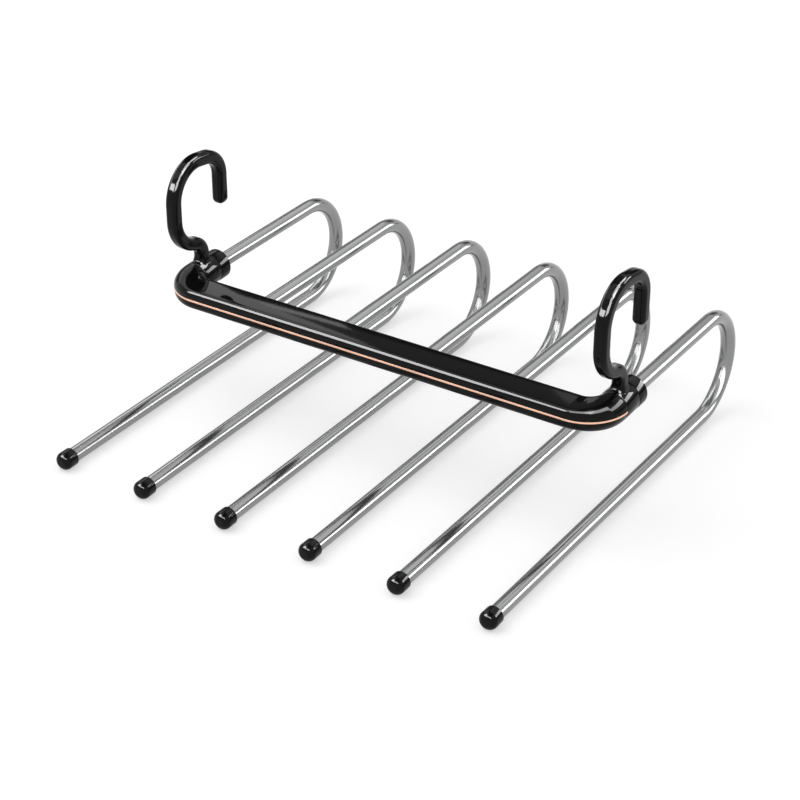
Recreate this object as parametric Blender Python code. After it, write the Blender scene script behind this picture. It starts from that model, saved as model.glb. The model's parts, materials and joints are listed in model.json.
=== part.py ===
"""Trouser rack with six U-bent steel arms, a moulded bar and two hooks that turn.

A row of U-bent tubes hangs under a C-shaped plastic bar. Each tube's upper leg runs back from
the bar, and its lower leg comes forward under it to a capped tip, over which trousers slide.
The bar is two shells that clamp the tubes between them, with a thin strip let into the joint
line. Its two ends turn back into barrels round the outer arms. A hook turns on each barrel, from
upright, for hanging the rack level, to in line with the bar, for hanging it on end.

Units are metres. X runs along the bar, +Y from the capped tips to the bends, +Z up. The rack's
own dimensions are measured from the middle of the bar's front face, at the height of the upper
legs. The whole rack is then placed with the middle of its box over the origin, on z = 0.
"""

import math

import bmesh
import bpy
from mathutils import Matrix, Vector

# Arms: bent steel tubes, one beside the other
ARM_COUNT = 6
ARM_PITCH = 0.062
TUBE_OD = 0.0098
TUBE_WALL = 0.0007
LEG_DROP = 0.0697
BEND_CENTRE_Y = 0.1555
TIP_REACH = 0.1144
TUBE_END_INSET = 0.0040
OUTER_SEAT_WALL = 0.0010

# Caps pushed over the tips of the lower legs
CAP_OD = 0.0120
CAP_LENGTH = 0.0103
CAP_FRONT_WALL = 0.0026
CAP_FRONT_RADIUS = 0.0040
CAP_REAR_RADIUS = 0.0004

# Bar: the section along its straight run, and the corner that turns back into each barrel
BAR_DEPTH = 0.0230
BAR_HEIGHT = 0.0136
BAR_EDGE_RADIUS = 0.0036
BAR_CORNER_RADIUS = 0.0280
SHELL_WALL = 0.0020
GROOVE_WALL = 0.0012
SADDLE_WIDTH = 0.0150
SCREW_BRIDGE_WIDTH = 0.0090
POCKET_CHAMFER = 0.0015

# Strip let into the outer side of the joint line
STRIP_HEIGHT = 0.0012
STRIP_DEPTH = 0.0020
STRIP_PROUD = 0.0001

# Barrels at the bar's ends: journal, hook collar, washer and end ring
BARREL_OD = 0.0204
BARREL_EDGE = 0.0003
JOURNAL_OD = 0.0140
COLLAR_LENGTH = 0.0152
END_RING_LENGTH = 0.0097
END_RING_LIP = 0.0018
END_RING_RADIUS = 0.0012
WASHER_WIDTH = 0.0012
WASHER_THICKNESS = 0.0007

# Stop that limits the hook's turn: a lug on the collar in an arc-shaped slot in the bar's end
HOOK_TURN = math.radians(90)
LUG_HALF_ANGLE = math.radians(10)
LUG_THICKNESS = 0.0010
LUG_LENGTH = 0.0022
LUG_ROOT = 0.0006

# Hook: a square bar with rounded edges along a route in the Y-Z plane. Heights are above the
# barrel's axis, and the offset and the span are between centre lines.
HOOK_BAR = 0.0088
HOOK_EDGE_RADIUS = 0.0030
HOOK_STEM_OFFSET = 0.0258
HOOK_SPAN = 0.0481
HOOK_NECK_HEIGHT = 0.0227
HOOK_SHOULDER_HEIGHT = 0.0303
HOOK_CROWN_HEIGHT = 0.0847
HOOK_CROWN_FALL = 0.0066
HOOK_TIP_HEIGHT = 0.0422
HOOK_NECK_RADIUS = 0.0109
HOOK_SHOULDER_RADIUS = 0.0225
HOOK_CROWN_RADIUS = 0.0230
HOOK_NOSE_RADIUS = 0.0165
HOOK_FLARE = 1.35
HOOK_FLARE_HEIGHT = 0.0030

# Fastening: self-tapping screws from below, and pegs that hold the tubes' ends
SCREW_HEAD_OD = 0.0056
SCREW_HEAD_HEIGHT = 0.0016
SCREW_HEAD_SUNK = 0.0005
SCREW_SHANK_OD = 0.0026
PEG_OD = 0.0030
PEG_SETBACK = 0.0065
PEG_REACH = 0.0008

# Clearances, and how near two points are merged
GAP = 0.0003
CUT_PAST = 0.0020
MERGE_DISTANCE = 0.000001

# Facets
TUBE_SIDES = 14
BEND_STEPS = 10
CORNER_STEPS = 7
GROOVE_LEAN = 0.5 / CORNER_STEPS
EDGE_STEPS = 4
BARREL_SIDES = 4 * (EDGE_STEPS + 1)
CAP_STEPS = 3
SMALL_SIDES = 8
PEG_SIDES = 8
HOOK_EDGE_STEPS = 2
HOOK_STEP_ANGLE = math.radians(13)
TIP_STEPS = 3
FLARE_STEPS = 3
SLOT_STEPS = 6
SMOOTH_BELOW = math.radians(35)

# Derived places
TUBE_RADIUS = TUBE_OD / 2
BARREL_RADIUS = BARREL_OD / 2
JOURNAL_RADIUS = JOURNAL_OD / 2
HALF_DEPTH = BAR_DEPTH / 2
HALF_HEIGHT = BAR_HEIGHT / 2
BEND_RADIUS = LEG_DROP / 2
ARM_XS = [(i - (ARM_COUNT - 1) / 2) * ARM_PITCH for i in range(ARM_COUNT)]
BARREL_X = ARM_XS[-1]
STRAIGHT_HALF = BARREL_X + BARREL_RADIUS - BAR_CORNER_RADIUS
BAR_END_Y = BAR_CORNER_RADIUS
COLLAR_CENTRE_Y = BAR_END_Y + GAP + COLLAR_LENGTH / 2
COLLAR_REAR_Y = BAR_END_Y + GAP + COLLAR_LENGTH
END_RING_FRONT_Y = COLLAR_REAR_Y + GAP
END_RING_REAR_Y = END_RING_FRONT_Y + END_RING_LENGTH
JOURNAL_END_Y = END_RING_REAR_Y - END_RING_LIP - GAP
TUBE_END_Y = -TIP_REACH + CAP_FRONT_WALL + GAP
REAR_Y = BEND_CENTRE_Y + BEND_RADIUS + TUBE_RADIUS
AXIS_HEIGHT = LEG_DROP + CAP_OD / 2
FRONT_FACE_Y = -(REAR_Y - TIP_REACH) / 2


def outer_tube_inset():
    """Where the outer tubes end: behind the strip's groove, which curves past them."""
    reach = BARREL_X + TUBE_RADIUS + GAP - STRAIGHT_HALF
    inside = BAR_CORNER_RADIUS - STRIP_DEPTH - GAP - OUTER_SEAT_WALL
    return BAR_CORNER_RADIUS - math.sqrt(inside ** 2 - reach ** 2) + GAP


ARM_INSETS = [outer_tube_inset() if x in (ARM_XS[0], ARM_XS[-1]) else TUBE_END_INSET
              for x in ARM_XS]


def clear_scene():
    for obj in list(bpy.data.objects):
        bpy.data.objects.remove(obj, do_unlink=True)


def make_material(name, colour, roughness, metallic=0.0, coat=0.0):
    material = bpy.data.materials.new(name)
    material.use_nodes = True
    shader = material.node_tree.nodes["Principled BSDF"]
    shader.inputs["Base Color"].default_value = (*colour, 1.0)
    shader.inputs["Roughness"].default_value = roughness
    shader.inputs["Metallic"].default_value = metallic
    shader.inputs["Coat Weight"].default_value = coat
    return material


def add_object(name, bm, material, rack, location=(0, 0, 0)):
    """Turns a bmesh into an object placed on the rack, shaded smooth except at real edges."""
    bmesh.ops.recalc_face_normals(bm, faces=bm.faces)
    mesh = bpy.data.meshes.new(name)
    bm.to_mesh(mesh)
    bm.free()
    if material:
        mesh.materials.append(material)
    mesh.shade_smooth()
    mesh.set_sharp_from_angle(angle=SMOOTH_BELOW)
    return place(name, mesh, rack, location)


def place(name, mesh, rack, location=(0, 0, 0)):
    obj = bpy.data.objects.new(name, mesh)
    bpy.context.scene.collection.objects.link(obj)
    obj.parent = rack
    obj.location = location
    return obj


def as_cutter(obj):
    obj.hide_render = True
    obj.display_type = "WIRE"
    return obj


def combine(obj, other, operation):
    """Adds a Boolean modifier that cuts the other object from this one, or joins it on."""
    modifier = obj.modifiers.new(other.name, "BOOLEAN")
    modifier.object = other
    modifier.operation = operation
    modifier.solver = "EXACT"


def settle(obj):
    """Replaces an object's mesh by the result of its modifiers."""
    graph = bpy.context.evaluated_depsgraph_get()
    mesh = bpy.data.meshes.new_from_object(obj.evaluated_get(graph))
    obj.modifiers.clear()
    obj.data = mesh
    return obj


def discard(*objects):
    for obj in objects:
        bpy.data.objects.remove(obj, do_unlink=True)


def loft(bm, rings):
    """Skins a closed body through rings of points that run the same way round."""
    loops = [[bm.verts.new(point) for point in ring] for ring in rings]
    for near, far in zip(loops, loops[1:]):
        for i in range(len(near)):
            j = (i + 1) % len(near)
            bm.faces.new((near[i], near[j], far[j], far[i]))
    bm.faces.new(list(reversed(loops[0])))
    bm.faces.new(loops[-1])


def turn(bm, profile, sides, closed=False, along="Y", centre=(0, 0, 0)):
    """Turns a profile of (radius, distance along the axis) points about an axis.

    A profile that isn't closed starts and ends on the axis. The first seam is half a facet off
    the X axis, so that pieces with as many sides lie facet to facet.
    """
    start = [bm.verts.new((radius, along_y, 0)) for radius, along_y in profile]
    edges = [bm.edges.new(pair) for pair in zip(start, start[1:])]
    if closed:
        edges.append(bm.edges.new((start[-1], start[0])))
    half_facet = Matrix.Rotation(math.pi / sides, 3, "Y")
    bmesh.ops.rotate(bm, cent=(0, 0, 0), matrix=half_facet, verts=start)
    before = {v for v in bm.verts if v not in start}
    bmesh.ops.spin(bm, geom=start + edges, cent=(0, 0, 0), axis=(0, 1, 0),
                   angle=2 * math.pi, steps=sides)
    made = [v for v in bm.verts if v not in before]
    if along == "Z":
        bmesh.ops.rotate(bm, cent=(0, 0, 0), matrix=Matrix.Rotation(math.pi / 2, 3, "X"),
                         verts=made)
    bmesh.ops.translate(bm, vec=centre, verts=made)
    bmesh.ops.remove_doubles(bm, verts=made, dist=MERGE_DISTANCE)


def rod_profile(radius, low, high):
    return [(0, low), (radius, low), (radius, high), (0, high)]


def arc_points(centre, radius, start, end, steps):
    """Points on an arc from one angle to another, both ends included."""
    points = []
    for i in range(steps + 1):
        angle = start + (end - start) * i / steps
        points.append((centre[0] + radius * math.cos(angle),
                       centre[1] + radius * math.sin(angle)))
    return points


def rounded_rectangle(half_width, half_height, radius, steps):
    """Outline with round corners, anticlockwise from the corner right of centre and above."""
    outline = []
    for i, (side, rise) in enumerate(((1, 1), (-1, 1), (-1, -1), (1, -1))):
        centre = (side * (half_width - radius), rise * (half_height - radius))
        start = i * math.pi / 2
        outline += arc_points(centre, radius, start, start + math.pi / 2, steps)
    return outline


def circle(radius, sides):
    """Outline whose first point is half a facet above the horizontal."""
    half_facet = math.pi / sides
    return arc_points((0, 0), radius, half_facet, 2 * math.pi - half_facet, sides - 1)


def bar_station(bend):
    """Section plane of the bar where its right corner has turned by an angle.

    Returns the point on the outer edge, the outward direction and how far the section has
    changed from the bar's rounded rectangle to the barrel's circle.
    """
    outward = Vector((math.sin(bend), -math.cos(bend), 0))
    edge = Vector((STRAIGHT_HALF, BAR_CORNER_RADIUS, 0)) + BAR_CORNER_RADIUS * outward
    turned = bend / (math.pi / 2)
    change = turned * turned * (3 - 2 * turned)
    return edge, outward, change


def bar_section(bend):
    """The bar's outline at one place round its right corner."""
    edge, outward, change = bar_station(bend)
    flat = rounded_rectangle(HALF_DEPTH, HALF_HEIGHT, BAR_EDGE_RADIUS, EDGE_STEPS)
    round_end = circle(BARREL_RADIUS, BARREL_SIDES)
    half_width = HALF_DEPTH + (BARREL_RADIUS - HALF_DEPTH) * change
    centre = edge - half_width * outward
    ring = []
    for (u0, z0), (u1, z1) in zip(flat, round_end):
        u = u0 + (u1 - u0) * change
        z = z0 + (z1 - z0) * change
        ring.append(centre + u * outward + Vector((0, 0, z)))
    return ring


def strip_section(bend, inner, outer, half_height, lean=0.0):
    """A rectangle at the outer edge, between two depths that count positive into the bar.

    With a lean, its outer side lies further round the corner than its inner side.
    """
    near, inward, _ = bar_station(bend)
    far, outward, _ = bar_station(bend + lean)
    inner_side = near - inner * inward
    outer_side = far - outer * outward
    low = Vector((0, 0, -half_height))
    high = Vector((0, 0, half_height))
    return [outer_side + low, outer_side + high, inner_side + high, inner_side + low]


def along_bar(section, lengthen=0.0):
    """Rings of a section from the left end, round both corners, to the right end."""
    right = [section(math.pi / 2 * i / CORNER_STEPS) for i in range(CORNER_STEPS + 1)]
    if lengthen:
        right.append([point + Vector((0, lengthen, 0)) for point in right[-1]])
    left = [[Vector((-p.x, p.y, p.z)) for p in ring] for ring in reversed(right)]
    return left + right


def add_bar_body(rack):
    """The bar as one body, before it is split: the swept bar and a journal at each end."""
    bm = bmesh.new()
    loft(bm, along_bar(bar_section))
    bar = add_object("bar_body", bm, None, rack)
    bm = bmesh.new()
    for side in (-1, 1):
        journal = rod_profile(JOURNAL_RADIUS, BAR_END_Y - SHELL_WALL, JOURNAL_END_Y)
        turn(bm, journal, BARREL_SIDES, centre=(side * BARREL_X, 0, 0))
    journals = add_object("journals", bm, None, rack)
    combine(bar, journals, "UNION")
    settle(bar)
    discard(journals)
    return bar


def add_half_space(name, rack, side):
    """A block that covers everything on one side of the joint line, and half the joint's gap."""
    bm = bmesh.new()
    size = Vector((2 * (BARREL_X + BARREL_OD), 2 * REAR_Y, BARREL_OD))
    centre = Vector((0, 0, side * (size.z / 2 - GAP / 2)))
    bmesh.ops.create_cube(bm, size=1, matrix=Matrix.LocRotScale(centre, None, size))
    return as_cutter(add_object(name, bm, None, rack))


def add_strip_groove(rack):
    """The strip's seat, which leans so that none of its edges meets an edge of the bar."""
    bm = bmesh.new()
    floor = STRIP_DEPTH + GAP
    half_height = STRIP_HEIGHT / 2 + GAP
    lean = math.pi / 2 * GROOVE_LEAN
    loft(bm, along_bar(lambda bend: strip_section(bend, floor, -CUT_PAST, half_height, lean),
                       lengthen=CUT_PAST))
    return as_cutter(add_object("strip_groove", bm, None, rack))


def add_tube_seats(rack):
    """Round seats that both shells close round the tubes' ends."""
    bm = bmesh.new()
    for x, inset in zip(ARM_XS, ARM_INSETS):
        seat = rod_profile(TUBE_RADIUS + GAP, inset - GAP, END_RING_REAR_Y)
        turn(bm, seat, TUBE_SIDES, centre=(x, 0, 0))
    return as_cutter(add_object("tube_seats", bm, None, rack))


def screw_places():
    """Midway between neighbouring arms, on the bar's middle line."""
    return [((a + b) / 2, HALF_DEPTH) for a, b in zip(ARM_XS, ARM_XS[1:])]


def pocket_spans():
    """Where each pocket starts and ends: from a screw's bridge to a saddle or to the corner."""
    spans = []
    for screw_x, _ in screw_places():
        for side in (-1, 1):
            near = screw_x + side * SCREW_BRIDGE_WIDTH / 2
            saddle = screw_x + side * (ARM_PITCH - SADDLE_WIDTH) / 2
            far = max(-STRAIGHT_HALF, min(saddle, STRAIGHT_HALF))
            spans.append((min(near, far), max(near, far)))
    return spans


def add_pockets(rack):
    """Hollows in the straight run, between the wall behind the strip and the rear wall."""
    bm = bmesh.new()
    front = STRIP_DEPTH + GAP + GROOVE_WALL
    rear = BAR_DEPTH - SHELL_WALL
    for low, high in pocket_spans():
        centre = Vector(((low + high) / 2, (front + rear) / 2, 0))
        size = Vector((high - low, rear - front, BAR_HEIGHT - 2 * SHELL_WALL))
        made = bmesh.ops.create_cube(bm, size=1, matrix=Matrix.LocRotScale(centre, None, size))
        upright = {e for v in made["verts"] for e in v.link_edges
                   if abs(e.verts[0].co.z - e.verts[1].co.z) > size.z / 2}
        bmesh.ops.bevel(bm, geom=list(upright), offset=POCKET_CHAMFER, segments=1,
                        affect="EDGES")
    return as_cutter(add_object("pockets", bm, None, rack))


def screw_levels():
    """Heights of the screw: its head's face, the seat under the head, and its point."""
    face = -HALF_HEIGHT + SCREW_HEAD_SUNK
    seat = face + SCREW_HEAD_HEIGHT
    point = HALF_HEIGHT - SHELL_WALL - 2 * GAP
    return face, seat, point


def add_screw_holes(rack):
    bm = bmesh.new()
    _, seat, point = screw_levels()
    head = SCREW_HEAD_OD / 2 + GAP
    shank = SCREW_SHANK_OD / 2 + GAP
    profile = [(0, -HALF_HEIGHT - CUT_PAST), (head, -HALF_HEIGHT - CUT_PAST),
               (head, seat + GAP), (shank, seat + GAP), (shank, point + GAP), (0, point + GAP)]
    for x, y in screw_places():
        turn(bm, profile, SMALL_SIDES, along="Z", centre=(x, y, 0))
    return as_cutter(add_object("screw_holes", bm, None, rack))


def ring_sector(bm, inner, outer, near, far, middle, half_angle, steps, centre=(0, 0, 0)):
    """A piece of a ring about the Y axis; angles run from +X towards +Z."""
    rings = []
    for i in range(steps + 1):
        angle = middle + half_angle * (2 * i / steps - 1)
        spoke = Vector((math.cos(angle), 0, math.sin(angle)))
        rings.append([Vector(centre) + radius * spoke + Vector((0, y, 0))
                      for radius, y in ((inner, near), (outer, near), (outer, far), (inner, far))])
    loft(bm, rings)


def lug_radii():
    inner = JOURNAL_RADIUS + 2 * GAP
    return inner, inner + LUG_THICKNESS


def add_stop_slots(rack):
    """Slots under the journals, as long as the hook's turn and the lug, with clearance."""
    bm = bmesh.new()
    inner, outer = lug_radii()
    half_angle = HOOK_TURN / 2 + LUG_HALF_ANGLE + GAP / inner
    for side in (-1, 1):
        ring_sector(bm, inner - GAP, outer + GAP, BAR_END_Y - LUG_LENGTH, BAR_END_Y + CUT_PAST,
                    -math.pi / 2, half_angle, SLOT_STEPS, centre=(side * BARREL_X, 0, 0))
    return as_cutter(add_object("stop_slots", bm, None, rack))


def add_pegs(rack):
    """Pegs on the lower saddles, which reach through the tubes' lower walls."""
    bm = bmesh.new()
    root = -(TUBE_RADIUS + HALF_HEIGHT) / 2
    crown = -TUBE_RADIUS + TUBE_WALL + PEG_REACH
    for x, inset in zip(ARM_XS, ARM_INSETS):
        turn(bm, rod_profile(PEG_OD / 2, root, crown), PEG_SIDES, along="Z",
             centre=(x, inset + PEG_SETBACK, 0))
    return as_cutter(add_object("pegs", bm, None, rack))


def add_shells(rack, plastic):
    """Splits the bar's body at the joint line and cuts each half to hold what lies inside."""
    body = add_bar_body(rack)
    groove = add_strip_groove(rack)
    seats = add_tube_seats(rack)
    pockets = add_pockets(rack)
    holes = add_screw_holes(rack)
    slots = add_stop_slots(rack)
    pegs = add_pegs(rack)
    for name, side in (("bar_upper_shell", 1), ("bar_lower_shell", -1)):
        shell = place(name, body.data.copy(), rack)
        shell.data.materials.append(plastic)
        combine(shell, add_half_space(f"{name}_split", rack, -side), "DIFFERENCE")
        for cutter in (groove, seats, pockets, holes):
            combine(shell, cutter, "DIFFERENCE")
        if side < 0:
            combine(shell, slots, "DIFFERENCE")
            combine(shell, pegs, "UNION")
    discard(body)


def add_accent_strip(rack, metal):
    bm = bmesh.new()
    half_height = STRIP_HEIGHT / 2
    rings = along_bar(lambda bend: strip_section(bend, STRIP_DEPTH, -STRIP_PROUD, half_height))
    loft(bm, rings)
    add_object("accent_strip", bm, metal, rack)


def add_screws(rack, steel):
    face, seat, point = screw_levels()
    profile = [(0, face), (SCREW_HEAD_OD / 2, face), (SCREW_HEAD_OD / 2, seat),
               (SCREW_SHANK_OD / 2, seat), (SCREW_SHANK_OD / 2, point), (0, point)]
    bm = bmesh.new()
    turn(bm, profile, SMALL_SIDES, along="Z")
    screw = add_object("shell_screw_1", bm, steel, rack)
    for i, (x, y) in enumerate(screw_places()):
        obj = screw if i == 0 else place(f"shell_screw_{i + 1}", screw.data, rack)
        obj.location = (x, y, 0)


def new_ring(made):
    """The vertices and edges at the free end of what an extrusion or a spin has made."""
    verts = [g for g in made if isinstance(g, bmesh.types.BMVert)]
    edges = [g for g in made if isinstance(g, bmesh.types.BMEdge) and set(g.verts) <= set(verts)]
    return verts, edges


def add_arm(name, inset, rack, steel):
    """A U-bent tube, drilled for its peg."""
    bm = bmesh.new()
    upright = Matrix.Rotation(math.pi / 2, 4, "X") @ Matrix.Rotation(math.pi / TUBE_SIDES, 4, "Z")
    start = Matrix.Translation((0, inset, 0)) @ upright
    bmesh.ops.create_circle(bm, segments=TUBE_SIDES, radius=TUBE_RADIUS, matrix=start)
    made = bmesh.ops.extrude_edge_only(bm, edges=bm.edges[:])["geom"]
    verts, edges = new_ring(made)
    bmesh.ops.translate(bm, vec=(0, BEND_CENTRE_Y - inset, 0), verts=verts)
    bend = bmesh.ops.spin(bm, geom=verts + edges, cent=(0, BEND_CENTRE_Y, -BEND_RADIUS),
                          axis=(1, 0, 0), angle=-math.pi, steps=BEND_STEPS)
    verts, edges = new_ring(bend["geom_last"])
    made = bmesh.ops.extrude_edge_only(bm, edges=edges)["geom"]
    verts, edges = new_ring(made)
    bmesh.ops.translate(bm, vec=(0, TUBE_END_Y - BEND_CENTRE_Y, 0), verts=verts)
    arm = add_object(name, bm, steel, rack)
    wall = arm.modifiers.new("wall", "SOLIDIFY")
    wall.thickness = TUBE_WALL
    wall.offset = -1
    wall.use_even_offset = True
    bm = bmesh.new()
    turn(bm, rod_profile(PEG_OD / 2 + GAP, -TUBE_OD, -TUBE_RADIUS / 2), PEG_SIDES, along="Z",
         centre=(0, inset + PEG_SETBACK, 0))
    drill = as_cutter(add_object("peg_hole", bm, None, rack))
    combine(arm, drill, "DIFFERENCE")
    settle(arm)
    discard(drill)
    return arm


def add_arms(rack, steel):
    """The outer two arms are alike, and so are those between them."""
    meshes = {}
    for i, (x, inset) in enumerate(zip(ARM_XS, ARM_INSETS)):
        name = f"arm_{i + 1}"
        if inset in meshes:
            arm = place(name, meshes[inset], rack)
        else:
            arm = add_arm(name, inset, rack, steel)
            meshes[inset] = arm.data
        arm.location = (x, 0, 0)


def add_tip_caps(rack, vinyl):
    """Caps with a round-edged nose, hollow to the tube's end."""
    outer = CAP_OD / 2
    bore = TUBE_RADIUS + GAP
    nose = arc_points((outer - CAP_FRONT_RADIUS, CAP_FRONT_RADIUS), CAP_FRONT_RADIUS,
                      -math.pi / 2, 0, CAP_STEPS)
    rim = [(outer, CAP_LENGTH - CAP_REAR_RADIUS), (outer - CAP_REAR_RADIUS, CAP_LENGTH)]
    inside = [(bore, CAP_LENGTH), (bore, CAP_FRONT_WALL), (0, CAP_FRONT_WALL)]
    profile = [(0, 0)] + nose + rim + inside
    bm = bmesh.new()
    turn(bm, profile, TUBE_SIDES)
    cap = add_object("tip_cap_1", bm, vinyl, rack)
    for i, x in enumerate(ARM_XS):
        obj = cap if i == 0 else place(f"tip_cap_{i + 1}", cap.data, rack)
        obj.location = (x, -TIP_REACH, -LEG_DROP)


def filleted_route(corners, radii):
    """Points and directions along straight runs that are joined by arcs.

    Corners are 2-D, and each one between the ends has a radius.
    """
    route = []
    points = [Vector(corner) for corner in corners]
    route.append((points[0], (points[1] - points[0]).normalized()))
    for before, corner, after, radius in zip(points, points[1:], points[2:], radii):
        into = (corner - before).normalized()
        out = (after - corner).normalized()
        turned = into.angle_signed(out)
        tangent = radius * math.tan(abs(turned) / 2)
        side = math.copysign(1, turned)
        inward = side * Vector((into.y, -into.x))
        centre = corner - tangent * into + radius * inward
        steps = max(1, math.ceil(abs(turned) / HOOK_STEP_ANGLE))
        for i in range(steps + 1):
            spin = Matrix.Rotation(-turned * i / steps, 2)
            route.append((centre - radius * (spin @ inward), spin @ into))
    route.append((points[-1], (points[-1] - points[-2]).normalized()))
    return route


def hook_ring(point, direction, grow=1.0):
    """The hook's rounded square, square to its route. The route lies in the Y-Z plane."""
    across = Vector((0, -direction.y, direction.x))
    centre = Vector((0, point.x, point.y))
    half = HOOK_BAR / 2
    outline = rounded_rectangle(half, half, HOOK_EDGE_RADIUS, HOOK_EDGE_STEPS)
    return [centre + grow * (Vector((u, 0, 0)) + v * across) for u, v in outline]


def hook_rings():
    """Rings from inside the collar, up the flared neck and over the crown to the round tip."""
    stem = -HOOK_STEM_OFFSET
    nose = stem + HOOK_SPAN
    corners = [(0, BARREL_RADIUS + HOOK_FLARE_HEIGHT), (0, HOOK_NECK_HEIGHT),
               (stem, HOOK_SHOULDER_HEIGHT), (stem, HOOK_CROWN_HEIGHT),
               (nose, HOOK_CROWN_HEIGHT - HOOK_CROWN_FALL),
               (nose, HOOK_TIP_HEIGHT + HOOK_BAR / 2)]
    radii = [HOOK_NECK_RADIUS, HOOK_SHOULDER_RADIUS, HOOK_CROWN_RADIUS, HOOK_NOSE_RADIUS]
    route = filleted_route(corners, radii)
    up = Vector((0, 1))
    foot = (JOURNAL_RADIUS + BARREL_RADIUS) / 2
    rings = [hook_ring(Vector((0, foot)), up, HOOK_FLARE)]
    for i in range(FLARE_STEPS):
        lean = math.pi / 2 * i / FLARE_STEPS
        height = BARREL_RADIUS + HOOK_FLARE_HEIGHT * (1 - math.cos(lean))
        grow = HOOK_FLARE - (HOOK_FLARE - 1) * math.sin(lean)
        rings.append(hook_ring(Vector((0, height)), up, grow))
    rings += [hook_ring(point, direction) for point, direction in route]
    end, direction = route[-1]
    for i in range(1, TIP_STEPS + 1):
        lean = math.pi / 2 * i / (TIP_STEPS + 1)
        centre = end + HOOK_BAR / 2 * math.sin(lean) * direction
        rings.append(hook_ring(centre, direction, math.cos(lean)))
    return rings


def add_hooks(rack, plastic):
    """Each hook is moulded in one with its collar and its stop lug, about the barrel's axis."""
    inner, outer = lug_radii()
    half = COLLAR_LENGTH / 2
    soft = BARREL_RADIUS - BARREL_EDGE
    collar_profile = [(0, -half), (soft, -half), (BARREL_RADIUS, -half + BARREL_EDGE),
                      (BARREL_RADIUS, half - BARREL_EDGE), (soft, half), (0, half)]
    for name, side in (("hook_left", -1), ("hook_right", 1)):
        location = (side * BARREL_X, COLLAR_CENTRE_Y, 0)
        bm = bmesh.new()
        turn(bm, collar_profile, BARREL_SIDES)
        hook = add_object(name, bm, plastic, rack, location)
        bm = bmesh.new()
        loft(bm, hook_rings())
        neck = add_object(f"{name}_neck", bm, plastic, rack, location)
        bm = bmesh.new()
        middle = -math.pi / 2 + side * HOOK_TURN / 2
        ring_sector(bm, inner, outer, -half - LUG_LENGTH, -half + LUG_ROOT, middle,
                    LUG_HALF_ANGLE, 1)
        lug = add_object(f"{name}_lug", bm, plastic, rack, location)
        bm = bmesh.new()
        turn(bm, rod_profile(JOURNAL_RADIUS + GAP, -half - CUT_PAST, half + CUT_PAST),
             BARREL_SIDES)
        bore = add_object(f"{name}_bore", bm, None, rack, location)
        combine(hook, neck, "UNION")
        combine(hook, bore, "DIFFERENCE")
        combine(hook, lug, "UNION")
        settle(hook)
        discard(neck, lug, bore)


def add_end_rings(rack, plastic, rubber):
    """Rings that close the barrels, each with a washer let into its front face."""
    journal_bore = JOURNAL_RADIUS + GAP
    tube_bore = TUBE_RADIUS + GAP
    washer_inner = journal_bore
    washer_outer = washer_inner + WASHER_WIDTH
    recess = WASHER_THICKNESS + GAP
    soft = BARREL_RADIUS - BARREL_EDGE
    rear_edge = arc_points((BARREL_RADIUS - END_RING_RADIUS, END_RING_LENGTH - END_RING_RADIUS),
                           END_RING_RADIUS, 0, math.pi / 2, CAP_STEPS)
    profile = [(washer_outer + GAP, recess), (washer_outer + GAP, 0), (soft, 0),
               (BARREL_RADIUS, BARREL_EDGE)] + rear_edge
    profile += [(tube_bore, END_RING_LENGTH), (tube_bore, END_RING_LENGTH - END_RING_LIP),
                (journal_bore, END_RING_LENGTH - END_RING_LIP), (journal_bore, recess)]
    bm = bmesh.new()
    turn(bm, profile, BARREL_SIDES, closed=True)
    ring = add_object("end_ring_left", bm, plastic, rack, (-BARREL_X, END_RING_FRONT_Y, 0))
    place("end_ring_right", ring.data, rack, (BARREL_X, END_RING_FRONT_Y, 0))
    profile = [(washer_inner, 0), (washer_outer, 0), (washer_outer, WASHER_THICKNESS),
               (washer_inner, WASHER_THICKNESS)]
    bm = bmesh.new()
    turn(bm, profile, BARREL_SIDES, closed=True)
    washer = add_object("friction_washer_left", bm, rubber, rack,
                        (-BARREL_X, END_RING_FRONT_Y, 0))
    place("friction_washer_right", washer.data, rack, (BARREL_X, END_RING_FRONT_Y, 0))


def build():
    clear_scene()
    rack = bpy.data.objects.new("rack", None)
    bpy.context.scene.collection.objects.link(rack)
    rack.location = (0, FRONT_FACE_Y, AXIS_HEIGHT)
    plastic = make_material("black_plastic", (0.012, 0.012, 0.014), 0.12, coat=0.5)
    vinyl = make_material("cap_plastic", (0.014, 0.014, 0.016), 0.18, coat=0.3)
    steel = make_material("stainless_steel", (0.62, 0.62, 0.63), 0.26, metallic=1.0)
    rose_gold = make_material("rose_gold", (0.84, 0.45, 0.33), 0.25, metallic=1.0)
    zinc = make_material("zinc_plated_steel", (0.55, 0.56, 0.58), 0.35, metallic=1.0)
    rubber = make_material("washer_rubber", (0.02, 0.02, 0.02), 0.7)
    add_shells(rack, plastic)
    add_accent_strip(rack, rose_gold)
    add_screws(rack, zinc)
    add_arms(rack, steel)
    add_tip_caps(rack, vinyl)
    add_hooks(rack, plastic)
    add_end_rings(rack, plastic, rubber)
    bpy.context.view_layer.update()


build()
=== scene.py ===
"""The looks of the trouser rack: its smooth surfaces, materials, light and camera.

Every piece is modelled in the rack's own dimensions, measured from the middle of the bar's front
face at the height of the upper legs: X runs along the bar, +Y from the capped tips to the bends,
+Z up. RACK is where that point lies in the frame. Units are metres, and colours are linear.
"""

import json
import math

import bmesh
import bpy
from mathutils import Matrix, Vector

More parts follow.
